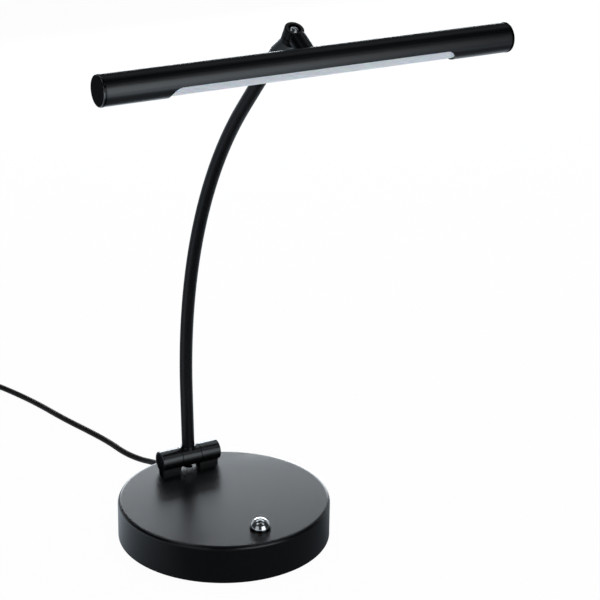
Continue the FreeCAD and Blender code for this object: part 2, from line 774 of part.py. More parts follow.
def make_plug_lead():
    return cylinder(cord_radius, plug_lead_start, exit_way, plug_lead_length).cut(make_cord_coil())


def make_plug_body():
    """Flat two-pin plug: a six-sided body that narrows to a round boot for the cord."""
    half = plug_width / 2
    slope = plug_width * 0.2
    outline = [V(-half + slope, 0, 0), V(half - slope, 0, 0), V(half, slope, 0), V(half, plug_body_length, 0),
               V(-half, plug_body_length, 0), V(-half, slope, 0), V(-half + slope, 0, 0)]
    body = Part.Face(Part.makePolygon(outline)).extrude(V(0, 0, plug_thickness))
    body = round_edges(body, 2.5, lambda e: abs(e.tangentAt(e.FirstParameter).z) < 0.01)
    body.Placement = FreeCAD.Placement(V(body_start.x, body_start.y, 0), plug_turn)
    boot = Part.makeCone(cord_radius + 0.7, plug_boot_radius, plug_boot_length + 1.0, boot_start, exit_way)
    return join([body, boot])


def make_plug_pins():
    across = exit_way.cross(ALONG_Z)
    face = body_start + exit_way * plug_body_length
    pins = []
    for side in (-1, 1):
        pin = cylinder(pin_radius, face + across * (side * pin_spacing / 2), exit_way, pin_length)
        tip = (face + exit_way * pin_length).dot(exit_way)
        pins.append(round_edges(pin, pin_radius * 0.6, lambda e: is_circle(e, pin_radius, tip, exit_way)))
    return Part.makeCompound(pins)


os.makedirs("parts", exist_ok=True)

base_nodes = {"base_shell": make_base_shell(), "base_weight": make_base_weight(),
              "bottom_plate": make_bottom_plate(), "rubber_pad": make_rubber_pad(),
              "base_screws": Part.makeCompound([countersunk_screw(place, 0) for place in base_screw_places])}
hinge_nodes = {"left_hinge_ear": make_ear(-1), "right_hinge_ear": make_ear(1), "ear_screws": make_ear_screws(),
               "hinge_bolt": make_hinge_bolt(), "hinge_nut": make_hinge_nut(),
               "hinge_washers": make_hinge_washers(), "hinge_caps": make_hinge_caps(),
               "hinge_knuckle": make_hinge_knuckle()}
arm_nodes = {"arm_tube": make_arm_tube(), "arm_leads": make_arm_leads(), "swivel_elbow": make_swivel_elbow(),
             "swivel_washer": make_swivel_washer(), "swivel_screw": make_swivel_screw()}
head_nodes = {"head_neck": make_head_neck(), "head_tube": make_head_tube(), "led_carrier": make_led_carrier(),
              "led_board": make_led_board(), "led_chips": make_led_chips(), "diffuser": make_diffuser(),
              "left_end_cap": make_end_cap(-1), "right_end_cap": make_end_cap(1)}
button_nodes = {"dimmer_button": make_dimmer_button(), "switch_plunger": make_switch_plunger(),
                "switch_body": make_switch_body(), "dimmer_board": make_dimmer_board(),
                "board_screws": make_board_screws(), "led_driver": make_led_driver()}
cord_nodes = {"strain_relief": make_strain_relief(), "power_cord": make_power_cord(),
              "cord_coil": make_cord_coil(), "plug_lead": make_plug_lead(), "plug_body": make_plug_body(),
              "plug_pins": make_plug_pins()}

for group in (base_nodes, hinge_nodes, arm_nodes, head_nodes, button_nodes, cord_nodes):
    for name, shape in group.items():
        save(name, shape)

print("head centre %.2f %.2f  swivel %.2f %.2f  hinge %.2f %.2f"
      % (head_centre.y, head_centre.z, eye_top.y, eye_top.z, hinge_y, hinge_z))
print("coil %.1f long, outer radius %.1f" % (4 * math.pi * coil_turns * coil_middle_radius, coil_outer_radius))
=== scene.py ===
import bpy, bmesh, math
from mathutils import Vector, Matrix


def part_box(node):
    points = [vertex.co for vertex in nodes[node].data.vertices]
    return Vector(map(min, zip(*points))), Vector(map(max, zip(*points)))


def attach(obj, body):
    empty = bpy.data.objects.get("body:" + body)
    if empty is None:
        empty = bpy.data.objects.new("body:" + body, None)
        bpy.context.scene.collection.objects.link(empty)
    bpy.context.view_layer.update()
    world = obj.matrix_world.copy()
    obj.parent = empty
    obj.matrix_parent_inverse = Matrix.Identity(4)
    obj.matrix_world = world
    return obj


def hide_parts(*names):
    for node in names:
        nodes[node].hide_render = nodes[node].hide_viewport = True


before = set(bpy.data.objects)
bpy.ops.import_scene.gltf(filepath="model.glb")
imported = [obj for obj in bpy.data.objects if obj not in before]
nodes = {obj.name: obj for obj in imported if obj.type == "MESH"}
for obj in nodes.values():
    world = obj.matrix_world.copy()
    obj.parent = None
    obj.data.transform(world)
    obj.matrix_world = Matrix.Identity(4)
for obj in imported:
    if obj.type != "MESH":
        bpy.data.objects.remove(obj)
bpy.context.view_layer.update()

scene = bpy.context.scene


cameraSet = dict(
    place=(-0.660395, -1.240066, 0.749491),
    lookDown=0.37353,      # radians below the horizon
    lookRight=0.53039,     # radians from +Y towards +X
    roll=0.01615,
    focalPixels=1980.2,
    pictureWidth=600,
    sensor=36.0,
    sightEnd=50,
)


def makeCamera(cfg):
    down, side, roll = cfg["lookDown"], cfg["lookRight"], cfg["roll"]
    forward = Vector((math.sin(side) * math.cos(down), math.cos(side) * math.cos(down),
                      -math.sin(down)))
    level = Vector((math.cos(side), -math.sin(side), 0))
    upright = level.cross(forward)
    right = level * math.cos(roll) + upright * math.sin(roll)
    up = upright * math.cos(roll) - level * math.sin(roll)
    data = bpy.data.cameras.new("studioCamera")
    data.sensor_width = cfg["sensor"]
    data.lens = cfg["focalPixels"] * cfg["sensor"] / cfg["pictureWidth"]
    data.clip_end = cfg["sightEnd"]
    camera = bpy.data.objects.new("studioCamera", data)
    turn = Matrix((right, up, -forward)).transposed().to_4x4()
    camera.matrix_world = Matrix.Translation(cfg["place"]) @ turn
    scene.collection.objects.link(camera)
    scene.camera = camera


makeCamera(cameraSet)
scene.view_settings.view_transform = "Standard"
print("camera set")


cordSet = dict(
    thick=0.005,
    rest=0.0025,             # centre line of a cord that lies on the table
    exitHeight=0.0088,
    exitBack=0.1075,
    bendBack=0.119,          # where it starts to sink to the table
    sinking=(-0.0009, 0.1315, 0.0052),
    lying=((-0.0044, 0.145), (-0.0106, 0.163), (-0.0129, 0.187), (-0.0189, 0.215),
           (-0.0285, 0.252), (-0.0360, 0.292), (-0.0465, 0.329), (-0.0582, 0.361)),
    coilCentre=(-0.104, 0.372),
    coilOuter=0.038,         # centre line of the widest turn
    coilTurns=4.2,           # in each of the two layers
    coilEntry=24.0,          # degrees from +X
    pointsPerTurn=16,
    plugLead=0.025,
    leadPoints=4,
    plugCentreHeight=0.007,
    intoBoot=0.004,
    smoothing=3,             # order of the spline
    stepsPerPoint=6,
    roundSteps=5,            # of a quarter of the cord's section
)


def coilEnd(cfg):
    leave = math.radians(cfg["coilEntry"]) + 2 * cfg["coilTurns"] * 2 * math.pi
    out = Vector((math.cos(leave), math.sin(leave), 0))
    along = Vector((-math.sin(leave), math.cos(leave), 0))
    return out, along


def coilPoints(cfg):
    low, pitch, turns, steps = cfg["rest"], cfg["thick"], cfg["coilTurns"], cfg["pointsPerTurn"]
    entry = math.radians(cfg["coilEntry"])
    centre = Vector((*cfg["coilCentre"], 0))
    count = int(round(turns * steps))
    climb = steps // 2       # points over which the cord rises to the upper layer
    points = []
    for layer in (0, 1):
        for i in range(layer, count + 1):
            share = i / count
            inward = share if layer == 0 else 1 - share
            radius = cfg["coilOuter"] - inward * turns * pitch
            angle = entry + (layer + share) * turns * 2 * math.pi
            rise = pitch * min(1, i / climb) if layer else 0
            points.append(centre + Vector((math.cos(angle) * radius, math.sin(angle) * radius,
                                           low + rise)))
    return points


def cordRoute(cfg):
    low = cfg["rest"]
    route = [Vector((0, cfg["exitBack"], cfg["exitHeight"])),
             Vector((0, cfg["bendBack"], cfg["exitHeight"])), Vector(cfg["sinking"])]
    route += [Vector((x, y, low)) for x, y in cfg["lying"]]
    route += coilPoints(cfg)
    along = coilEnd(cfg)[1]
    start = route[-1].copy()
    for i in range(1, cfg["leadPoints"] + 1):
        share = i / cfg["leadPoints"]
        point = start + along * cfg["plugLead"] * share
        point.z = start.z + (cfg["plugCentreHeight"] - start.z) * share
        route.append(point)
    route.append(route[-1] + along * cfg["intoBoot"])
    return route


def routeCurve(name, route, cfg):
    curve = bpy.data.curves.new(name, "CURVE")
    curve.dimensions = "3D"
    spline = curve.splines.new("NURBS")
    spline.points.add(len(route) - 1)
    for point, place in zip(spline.points, route):
        point.co = (*place, 1)
    spline.order_u = cfg["smoothing"]
    spline.use_endpoint_u = True
    spline.resolution_u = cfg["stepsPerPoint"]
    curve.bevel_depth = cfg["thick"] / 2
    curve.bevel_resolution = cfg["roundSteps"]
    curve.use_fill_caps = True
    piece = bpy.data.objects.new(name, curve)
    scene.collection.objects.link(piece)
    return piece


def splineLength(piece):
    line = piece.data.copy()
    line.bevel_depth = 0
    probe = bpy.data.objects.new("probe", line)
    mesh = bpy.data.meshes.new_from_object(probe)
    places = [vert.co for vert in mesh.vertices]
    total = sum((places[a] - places[b]).length for a, b in (e.vertices for e in mesh.edges))
    bpy.data.meshes.remove(mesh)
    bpy.data.objects.remove(probe)
    bpy.data.curves.remove(line)
    return total


mainsCord = routeCurve("mainsCord", cordRoute(cordSet), cordSet)
cordLength = splineLength(mainsCord)
print("cord made, length", round(cordLength, 3))


# what a node is given is either a socket to link or a constant
def feed(tree, target, given):
    if isinstance(given, bpy.types.NodeSocket):
        tree.links.new(given, target)
    elif target.type == "RGBA":
        target.default_value = (*given, 1)
    else:
        target.default_value = given


def addNode(tree, kind, inputs=None, **settings):
    node = tree.nodes.new(kind)
    for name, value in settings.items():
        setattr(node, name, value)
    for name, given in (inputs or {}).items():
        feed(tree, node.inputs[name], given)
    return node


def noiseOf(tree, vector, scale, detail, rough=0.5, warp=0.0):
    return addNode(tree, "ShaderNodeTexNoise", {
        "Vector": vector, "Scale": scale, "Detail": detail, "Roughness": rough,
        "Distortion": warp}).outputs["Fac"]


def rangeOf(tree, value, low, high, outLow, outHigh, **settings):
    return addNode(tree, "ShaderNodeMapRange", {
        "Value": value, "From Min": low, "From Max": high, "To Min": outLow, "To Max": outHigh},
        clamp=True, **settings).outputs["Result"]


def mathOf(tree, operation, *values):
    inputs = dict(enumerate(values))
    return addNode(tree, "ShaderNodeMath", inputs, operation=operation).outputs["Value"]


def vectorOf(tree, operation, *values, result="Vector"):
    inputs = dict(enumerate(values))
    return addNode(tree, "ShaderNodeVectorMath", inputs, operation=operation).outputs[result]


def splitOf(tree, vector):
    return addNode(tree, "ShaderNodeSeparateXYZ", {"Vector": vector}).outputs


def mixOf(tree, share, first, second, **settings):
    return addNode(tree, "ShaderNodeMix", {"Factor": share, 6: first, 7: second},
                   data_type="RGBA", **settings).outputs[2]


def arrange(tree, column=260, row=260):
    depth = {node.name: 0 for node in tree.nodes}
    for _ in range(len(depth)):
        for link in tree.links:
            source, target = link.from_node.name, link.to_node.name
            depth[source] = max(depth[source], depth[target] + 1)
    filled = {}
    for node in tree.nodes:
        deep = depth[node.name]
        filled[deep] = filled.get(deep, 0) + 1
        node.location = (-column * deep, -row * filled[deep])


def newGroup(name, inputs, outputs, kind="ShaderNodeTree"):
    group = bpy.data.node_groups.new(name, kind)
    for way, sockets in (("INPUT", inputs), ("OUTPUT", outputs)):
        for label, (form, *value) in sockets.items():
            made = group.interface.new_socket(name=label, in_out=way,
                                              socket_type="NodeSocket" + form)
            if value:
                made.default_value = value[0]
    entry = group.nodes.new("NodeGroupInput").outputs
    leave = group.nodes.new("NodeGroupOutput").inputs
    return group, entry, leave


def endGroup(group, leave, results):
    for label, given in results.items():
        feed(group, leave[label], given)
    arrange(group)
    return group


skinSet = dict(
    peelDetail=1.5,
    speckDetail=0.0,
    speckShare=0.35,             # of the fine specks in the height
    smudgeDetail=4.0,
    smudgeRough=0.6,
    smudgeWarp=0.7,
    smudgeRange=(0.35, 0.68),    # noise from which a smudge starts and at which it is full
)


def makeSkinGroup(cfg):
    group, given, leave = newGroup("paintSkin", {
        "Vector": ("Vector",), "Peel Scale": ("Float", 900.0), "Speck Scale": ("Float", 3200.0),
        "Smudge Scale": ("Float", 26.0), "Smooth": ("Float", 0.18), "Rough": ("Float", 0.3)},
        {"Roughness": ("Float",), "Height": ("Float",)})
    peel = noiseOf(group, given["Vector"], given["Peel Scale"], cfg["peelDetail"])
    speck = noiseOf(group, given["Vector"], given["Speck Scale"], cfg["speckDetail"])
    smudge = noiseOf(group, given["Vector"], given["Smudge Scale"], cfg["smudgeDetail"],
                     cfg["smudgeRough"], cfg["smudgeWarp"])
    return endGroup(group, leave, {
        "Roughness": rangeOf(group, smudge, *cfg["smudgeRange"], given["Smooth"], given["Rough"]),
        "Height": mathOf(group, "MULTIPLY_ADD", speck, cfg["speckShare"], peel)})


dustSet = dict(
    upRange=(0.55, 0.98),        # upward part of the normal on which dust rests
    cloudDetail=5.0,
    cloudRough=0.7,
    cloudRange=(0.42, 0.72),
    least=0.15,                  # dust between the patches
)


def makeDustGroup(cfg):
    group, given, leave = newGroup("restingDust", {
        "Vector": ("Vector",), "Normal": ("Vector",), "Scale": ("Float", 160.0),
        "Amount": ("Float", 0.3)}, {"Mask": ("Float",)})
    up = rangeOf(group, splitOf(group, given["Normal"])["Z"], *cfg["upRange"], 0.0, 1.0)
    cloud = noiseOf(group, given["Vector"], given["Scale"], cfg["cloudDetail"], cfg["cloudRough"])
    patch = rangeOf(group, cloud, *cfg["cloudRange"], cfg["least"], 1.0)
    both = mathOf(group, "MULTIPLY", up, patch)
    return endGroup(group, leave, {"Mask": mathOf(group, "MULTIPLY", both, given["Amount"])})


facingSet = dict(
    endRange=(0.85, 0.97),       # sideways part of the normal at which an end face starts
    aroundRange=(0.1, 0.35),     # and up to which a face goes round the X axis
)


def makeFacingGroup(cfg):
    group, given, leave = newGroup("facingGloss", {
        "Normal": ("Vector",), "Low": ("Float", 0.02), "High": ("Float", 0.12),
        "Wall": ("Float", 0.2), "Top": ("Float", 1.0), "Ends": ("Float", 1.0),
        "Around": ("Float", 1.0)}, {"Value": ("Float",)})
    normal = splitOf(group, given["Normal"])
    rising = rangeOf(group, normal["Z"], given["Low"], given["High"], given["Wall"], given["Top"])
    sideways = mathOf(group, "ABSOLUTE", normal["X"])
    ends = rangeOf(group, sideways, *cfg["endRange"], 1.0, given["Ends"])
    around = rangeOf(group, sideways, *cfg["aroundRange"], given["Around"], 1.0)
    share = mathOf(group, "MULTIPLY", ends, around)
    return endGroup(group, leave, {"Value": mathOf(group, "MULTIPLY", rising, share)})


hairSet = dict(
    detail=6.0,
    rough=0.7,
    wornRange=(0.3, 0.7),
)


def makeHairGroup(cfg):
    group, given, leave = newGroup("hairlines", {
        "Vector": ("Vector",), "Scale": ("Float", 400.0), "Stretch": ("Vector", (1.0, 1.0, 0.03)),
        "Smooth": ("Float", 0.1), "Rough": ("Float", 0.3)},
        {"Roughness": ("Float",), "Height": ("Float",)})
    thin = vectorOf(group, "MULTIPLY", given["Vector"], given["Stretch"])
    lines = noiseOf(group, thin, given["Scale"], cfg["detail"], cfg["rough"])
    worn = rangeOf(group, lines, *cfg["wornRange"], given["Smooth"], given["Rough"])
    return endGroup(group, leave, {"Roughness": worn, "Height": lines})


mottleSet = dict(
    rough=0.65,
    shareRange=(0.3, 0.7),
)


def makeMottleGroup(cfg):
    group, given, leave = newGroup("mottle", {
        "Vector": ("Vector",), "Scale": ("Float", 200.0), "Detail": ("Float", 5.0),
        "Dark": ("Color", (0, 0, 0, 1)), "Light": ("Color", (1, 1, 1, 1))},
        {"Color": ("Color",), "Height": ("Float",)})
    cloud = noiseOf(group, given["Vector"], given["Scale"], given["Detail"], cfg["rough"])
    share = rangeOf(group, cloud, *cfg["shareRange"], 0.0, 1.0)
    return endGroup(group, leave, {"Color": mixOf(group, share, given["Dark"], given["Light"]),
                                   "Height": cloud})


skinGroup = makeSkinGroup(skinSet)
dustGroup = makeDustGroup(dustSet)
facingGroup = makeFacingGroup(facingSet)
hairGroup = makeHairGroup(hairSet)
mottleGroup = makeMottleGroup(mottleSet)
print("shader groups built")


def placeGroup(tree, group, inputs):
    return addNode(tree, "ShaderNodeGroup", inputs, node_tree=group).outputs


def bumpOf(tree, height, strength, depth):
    return addNode(tree, "ShaderNodeBump", {
        "Strength": strength, "Distance": depth, "Height": height}).outputs["Normal"]


def tintOf(tree, at, scale, dark, light):
    return placeGroup(tree, mottleGroup, {
        "Vector": at, "Scale": scale, "Dark": dark, "Light": light})["Color"]


def skinOf(tree, at, peelScale, cfg):
    return placeGroup(tree, skinGroup, {
        "Vector": at, "Peel Scale": peelScale, "Smooth": cfg["smooth"], "Rough": cfg["rough"]})


def startMaterial(name):
    material = bpy.data.materials.new(name)
    material.use_nodes = True
    tree = material.node_tree
    where = addNode(tree, "ShaderNodeTexCoord").outputs
    return material, tree, where


def endMaterial(tree, values):
    surface = tree.nodes["Principled BSDF"].inputs
    for label, given in values.items():
        feed(tree, surface[label], given)
    arrange(tree)


paintSet = dict(
    dark=(0.0004, 0.0005, 0.0007),
    light=(0.0009, 0.0010, 0.0013),
    tintScale=60.0,
    dust=0.002,
    dustColor=(0.20, 0.19, 0.18),
    underGloss=0.04,
    smooth=0.34,
    rough=0.42,
    turnLow=0.02,        # upward part of the normal where the gloss starts to change
    turnHigh=0.12,
    coatTop=1.0,
    coatWall=1.0,
    coatEnds=0.06,       # on faces square to the head and the hinge pin
    coatAround=1.0,      # on faces round the head and the hinge pin
    coatRoughness=0.24,
    coatIor=1.6,
    peelScale=700.0,
    bump=0.2,
    depth=0.00004,
)


def makePaint(name, changes):
    cfg = dict(paintSet, **changes)
    material, tree, where = startMaterial(name)
    at, normal = where["Object"], where["Normal"]
    skin = skinOf(tree, at, cfg["peelScale"], cfg)
    dust = placeGroup(tree, dustGroup, {"Vector": at, "Normal": normal, "Amount": cfg["dust"]})
    clean = tintOf(tree, at, cfg["tintScale"], cfg["dark"], cfg["light"])
    coat = placeGroup(tree, facingGroup, {
        "Normal": normal, "Low": cfg["turnLow"], "High": cfg["turnHigh"], "Wall": cfg["coatWall"],
        "Top": cfg["coatTop"], "Ends": cfg["coatEnds"], "Around": cfg["coatAround"]})
    endMaterial(tree, {
        "Base Color": mixOf(tree, dust["Mask"], clean, cfg["dustColor"]),
        "Roughness": skin["Roughness"],
        "Specular IOR Level": cfg["underGloss"],
        "Coat Weight": coat["Value"],
        "Coat Roughness": cfg["coatRoughness"],
        "Coat IOR": cfg["coatIor"],
        "Normal": bumpOf(tree, skin["Height"], cfg["bump"], cfg["depth"])})
    return material


# painted shade: the colour goes dark towards the foot of a piece, where it meets the base top
def addFootShade(tree, at, clean, cfg):
    share = rangeOf(tree, splitOf(tree, at)["Z"], *cfg["footShadeHeights"], 0.0, 1.0)
    return mixOf(tree, share, cfg["footShade"], clean)


metalSet = dict(
    stretch=(1.0, 1.0, 1.0),
    depth=0.00002,
)


def makeMetal(name, changes):
    cfg = dict(metalSet, **changes)
    material, tree, where = startMaterial(name)
    at = where["Object"]
    lines = placeGroup(tree, hairGroup, {
        "Vector": at, "Scale": cfg["scale"], "Stretch": cfg["stretch"], "Smooth": cfg["smooth"],
        "Rough": cfg["rough"]})
    tint = tintOf(tree, at, cfg["tintScale"], cfg["worn"], cfg["color"])
    # painted shade at the foot, for the finishes that carry it
    if "footShade" in cfg:
        tint = addFootShade(tree, at, tint, cfg)
    endMaterial(tree, {
        "Metallic": 1.0,
        "Base Color": tint,
        "Roughness": lines["Roughness"],
        "Normal": bumpOf(tree, lines["Height"], cfg["bump"], cfg["depth"])})
    return material


mouldedSet = dict(
    gloss=0.5,
    depth=0.0001,
    extra={},
)


def makeMoulded(name, changes):
    cfg = dict(mouldedSet, **changes)
    material, tree, where = startMaterial(name)
    at = where["Object"]
    skin = skinOf(tree, at, cfg["grain"], cfg)
    endMaterial(tree, {
        "Base Color": tintOf(tree, at, cfg["tintScale"], cfg["dark"], cfg["light"]),
        "Roughness": skin["Roughness"],
        "Specular IOR Level": cfg["gloss"],
        "Normal": bumpOf(tree, skin["Height"], cfg["bump"], cfg["depth"]),
        **cfg["extra"]})
    return material


paints = {
    "satinBlackBase": dict(coatWall=0.75, coatEnds=1.0, coatRoughness=0.27, coatIor=1.52,
                           underGloss=0.02),
    "satinBlackHinge": dict(coatRoughness=0.26, coatIor=1.75),
    "matteBlackArm": dict(dark=(0.0055, 0.0052, 0.0057), light=(0.009, 0.0086, 0.0092),
                          turnLow=-0.4, turnHigh=0.02, coatWall=0.1, coatTop=0.4,
                          coatRoughness=0.34),
    "satinBlackElbow": dict(coatWall=0.14, coatTop=0.3, coatRoughness=0.3),
    "satinBlackCap": dict(dark=(0.0002, 0.00025, 0.0003), light=(0.0004, 0.0005, 0.0006),
                          coatEnds=0.0, coatAround=0.2, underGloss=0.005, coatRoughness=0.16,
                          coatIor=2.0),
    "satinBlackHead": dict(turnLow=0.44, turnHigh=0.58, coatTop=0.17, coatRoughness=0.3,
                           coatIor=1.7),
}

metals = {
    "chromePlate": dict(color=(0.86, 0.87, 0.88), worn=(0.80, 0.81, 0.82), tintScale=300.0,
                        scale=900.0, smooth=0.02, rough=0.05, bump=0.02,
                        # painted shade: near black at the dome's foot, just above the base top
                        footShade=(0.02, 0.02, 0.02), footShadeHeights=(0.0314, 0.0330)),
    "nickelPlate": dict(color=(0.66, 0.67, 0.68), worn=(0.55, 0.56, 0.57), tintScale=500.0,
                        scale=1200.0, smooth=0.10, rough=0.22, bump=0.1),
    "zincPlate": dict(color=(0.55, 0.56, 0.58), worn=(0.40, 0.41, 0.43), tintScale=90.0,
                      scale=350.0, stretch=(1.0, 0.05, 1.0), smooth=0.25, rough=0.42, bump=0.15),
    "extrudedAluminium": dict(color=(0.70, 0.70, 0.71), worn=(0.60, 0.60, 0.61), tintScale=60.0,
                              scale=900.0, stretch=(0.02, 1.0, 1.0), smooth=0.3, rough=0.45,
                              bump=0.2),
    "platedBrass": dict(color=(0.68, 0.64, 0.55), worn=(0.56, 0.50, 0.40), tintScale=400.0,
                        scale=700.0, stretch=(1.0, 0.05, 1.0), smooth=0.15, rough=0.3, bump=0.1),
}

mouldings = {
    "castIron": dict(dark=(0.05, 0.05, 0.052), light=(0.10, 0.10, 0.10), tintScale=120.0,
                     grain=500.0, smooth=0.6, rough=0.85, bump=0.6, depth=0.0004),
    "mattePlug": dict(dark=(0.0015, 0.0016, 0.0018), light=(0.003, 0.0031, 0.0034),
                      tintScale=90.0, grain=1100.0, smooth=0.5, rough=0.7, bump=0.2, gloss=0.012),
    "blackMoulding": dict(dark=(0.006, 0.006, 0.007), light=(0.010, 0.010, 0.011),
                          tintScale=80.0, grain=1500.0, smooth=0.35, rough=0.5, bump=0.15),
    "acetal": dict(dark=(0.015, 0.015, 0.015), light=(0.022, 0.022, 0.022), tintScale=200.0,
                   grain=900.0, smooth=0.3, rough=0.45, bump=0.1),
    "sheetRubber": dict(dark=(0.012, 0.012, 0.012), light=(0.024, 0.024, 0.023),
                        tintScale=150.0, grain=2200.0, smooth=0.75, rough=0.95, bump=0.5,
                        gloss=0.3),
    "cordJacket": dict(dark=(0.009, 0.0065, 0.006), light=(0.015, 0.011, 0.010),
                       tintScale=120.0, grain=1800.0, smooth=0.5, rough=0.7, bump=0.25,
                       gloss=0.18),
    "frostedAcrylic": dict(dark=(0.95, 0.88, 0.92), light=(0.99, 0.92, 0.96), tintScale=40.0,
                           grain=2600.0, smooth=0.38, rough=0.5, bump=0.15,
                           extra={"Subsurface Weight": 0.35, "Subsurface Scale": 0.004}),
    "greenBoard": dict(dark=(0.010, 0.09, 0.03), light=(0.02, 0.15, 0.05), tintScale=300.0,
                       grain=1200.0, smooth=0.25, rough=0.4, bump=0.1),
    "whiteBoard": dict(dark=(0.74, 0.74, 0.73), light=(0.82, 0.82, 0.81), tintScale=200.0,
                       grain=900.0, smooth=0.3, rough=0.45, bump=0.1),
    "phosphor": dict(dark=(0.80, 0.62, 0.20), light=(0.88, 0.74, 0.30), tintScale=900.0,
                     grain=900.0, smooth=0.15, rough=0.3, bump=0.1),
    "whiteMoulding": dict(dark=(0.68, 0.68, 0.66), light=(0.76, 0.76, 0.74), tintScale=200.0,
                          grain=900.0, smooth=0.35, rough=0.5, bump=0.1),
}

materials = {}
for make, table in ((makePaint, paints), (makeMetal, metals), (makeMoulded, mouldings)):
    for name, changes in table.items():
        materials[name] = make(name, changes)
print("materials built")


fairSet = dict(
    joinDistance=0.000002,
    crease=32,           # degrees from which an edge stays sharp
    faceWeight=60,
)


def makeFairTree(cfg):
    tree, given, leave = newGroup("fairShading", {
        "Geometry": ("Geometry",), "Join Distance": ("Float", cfg["joinDistance"]),
        "Crease Angle": ("Float", math.radians(cfg["crease"]))},
        {"Geometry": ("Geometry",)}, "GeometryNodeTree")
    joined = addNode(tree, "GeometryNodeMergeByDistance", {
        "Geometry": given["Geometry"], "Distance": given["Join Distance"]})
    smooth = addNode(tree, "GeometryNodeSetShadeSmooth", {
        "Geometry": joined.outputs["Geometry"]}, domain="FACE")
    angle = addNode(tree, "GeometryNodeInputMeshEdgeAngle")
    sharp = addNode(tree, "FunctionNodeCompare", {
        0: angle.outputs["Unsigned Angle"], 1: given["Crease Angle"]},
        data_type="FLOAT", operation="GREATER_THAN")
    crease = addNode(tree, "GeometryNodeSetShadeSmooth", {
        "Geometry": smooth.outputs["Geometry"], "Selection": sharp.outputs["Result"],
        "Shade Smooth": False}, domain="EDGE")
    return endGroup(tree, leave, {"Geometry": crease.outputs["Geometry"]})


fairTree = makeFairTree(fairSet)

wearers = {
    "satinBlackBase": ("base_shell",),
    "satinBlackHinge": ("left_hinge_ear", "right_hinge_ear", "hinge_knuckle"),
    "matteBlackArm": ("arm_tube",),
    "satinBlackElbow": ("swivel_elbow", "head_neck"),
    "satinBlackCap": ("left_end_cap", "right_end_cap"),
    "satinBlackHead": ("head_tube",),
    "chromePlate": ("dimmer_button",),
    "nickelPlate": ("swivel_screw",),
    "zincPlate": ("bottom_plate", "ear_screws", "hinge_bolt", "hinge_nut", "board_screws"),
    "extrudedAluminium": ("led_carrier",),
    "platedBrass": ("plug_pins",),
    "castIron": ("base_weight",),
    "mattePlug": ("hinge_caps",),
    "blackMoulding": ("arm_leads", "switch_body", "led_driver"),
    "acetal": ("hinge_washers", "swivel_washer"),
    "sheetRubber": ("rubber_pad",),
    "cordJacket": ("strain_relief", "plug_body"),
    "frostedAcrylic": ("diffuser",),
    "greenBoard": ("dimmer_board",),
    "whiteBoard": ("led_board",),
    "phosphor": ("led_chips",),
    "whiteMoulding": ("switch_plunger",),
}


def dressNode(name, material, cfg):
    piece = nodes[name]
    if not piece.material_slots:
        piece.data.materials.append(material)
    for place in piece.material_slots:
        place.material = material
    fair = piece.modifiers.new("fair", "NODES")
    fair.node_group = fairTree
    weigh = piece.modifiers.new("weigh", "WEIGHTED_NORMAL")
    weigh.mode = "FACE_AREA"
    weigh.weight = cfg["faceWeight"]
    weigh.keep_sharp = True


for finish, names in wearers.items():
    for name in names:
        dressNode(name, materials[finish], fairSet)
mainsCord.data.materials.append(materials["cordJacket"])
print("CAD pieces dressed:", sum(len(names) for names in wearers.values()))


def endCopies(tree, leave, points, inputs, material):
    copies = addNode(tree, "GeometryNodeInstanceOnPoints", {"Points": points, **inputs})
    real = addNode(tree, "GeometryNodeRealizeInstances", {
        "Geometry": copies.outputs["Instances"]})
    paint = addNode(tree, "GeometryNodeSetMaterial", {
        "Geometry": real.outputs["Geometry"], "Material": material})
    return endGroup(tree, leave, {"Geometry": paint.outputs["Geometry"]})


def makeRingTree(material):
    tree, given, leave = newGroup("ringOfCopies", {
        "Geometry": ("Geometry",), "Count": ("Int", 4), "Circle Radius": ("Float", 0.05),
        "First Angle": ("Float", 0.0), "Seed": ("Int", 1)},
        {"Geometry": ("Geometry",)}, "GeometryNodeTree")
    circle = addNode(tree, "GeometryNodeMeshCircle", {
        "Vertices": given["Count"], "Radius": given["Circle Radius"]})
    angle = addNode(tree, "ShaderNodeCombineXYZ", {"Z": given["First Angle"]})
    turned = addNode(tree, "GeometryNodeTransform", {
        "Geometry": circle.outputs["Mesh"], "Rotation": angle.outputs["Vector"]})
    # input 3 is the random number's highest value, output 1 the number
    chance = addNode(tree, "FunctionNodeRandomValue", {3: 2 * math.pi, "Seed": given["Seed"]},
                     data_type="FLOAT")
    spin = addNode(tree, "ShaderNodeCombineXYZ", {"Z": chance.outputs[1]})
    return endCopies(tree, leave, turned.outputs["Geometry"], {
        "Instance": given["Geometry"], "Rotation": spin.outputs["Vector"]}, material)


def makeRowTree(material):
    tree, given, leave = newGroup("rowOfCopies", {
        "Geometry": ("Geometry",), "Count": ("Int", 5), "Start": ("Vector", (0, 0, 0)),
        "Step": ("Vector", (0, 0.002, 0))},
        {"Geometry": ("Geometry",)}, "GeometryNodeTree")
    row = addNode(tree, "GeometryNodeMeshLine", {
        "Count": given["Count"], "Start Location": given["Start"], "Offset": given["Step"]},
        mode="OFFSET")
    return endCopies(tree, leave, row.outputs["Mesh"], {"Instance": given["Geometry"]}, material)


copySet = dict(
    crease=35,           # degrees from which an edge of a copied piece stays sharp
)


def growCopies(name, template, tree, values):
    first = bpy.data.meshes.new(name)
    bmesh.ops.recalc_face_normals(template, faces=template.faces)
    template.to_mesh(first)
    template.free()
    piece = bpy.data.objects.new(name, first)
    scene.collection.objects.link(piece)
    grow = piece.modifiers.new("grow", "NODES")
    grow.node_group = tree
    for item in tree.interface.items_tree:
        if item.in_out == "INPUT" and item.name in values:
            grow[item.identifier] = values[item.name]
    seen = piece.evaluated_get(bpy.context.evaluated_depsgraph_get())
    grown = bpy.data.meshes.new_from_object(seen)
    piece.modifiers.remove(grow)
    piece.data = grown
    grown.name = name
    bpy.data.meshes.remove(first)
    grown.polygons.foreach_set("use_smooth", [True] * len(grown.polygons))
    grown.set_sharp_from_angle(angle=math.radians(copySet["crease"]))
    return piece


